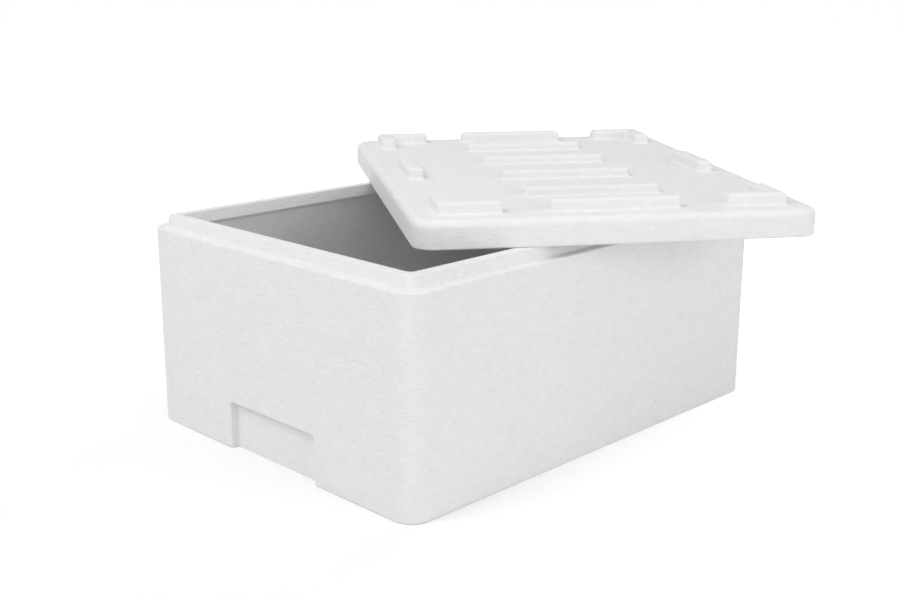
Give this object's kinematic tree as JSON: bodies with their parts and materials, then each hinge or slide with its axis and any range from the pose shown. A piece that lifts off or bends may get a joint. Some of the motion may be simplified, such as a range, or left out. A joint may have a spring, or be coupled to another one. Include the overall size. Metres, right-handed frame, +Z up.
{
  "type": "insulated foam box",
  "caption": "Open rectangular box moulded in white expanded foam, with a raised rim and foot recesses, its loose padded lid lying askew on the rim.",
  "frame": {"origin": "middle of the box's flat underside, on the surface that it stands on", "axes": "+X along the box's long sides, +Y across it, +Z up through the open rim"},
  "size_m": [0.5285, 0.4872, 0.199],
  "materials": {
    "foam": "matt white moulded beads, fused, with a faint cell pattern"
  },
  "bodies": {
    "root": {"box": "foam", "lid": "foam"}
  },
  "joints": []
}
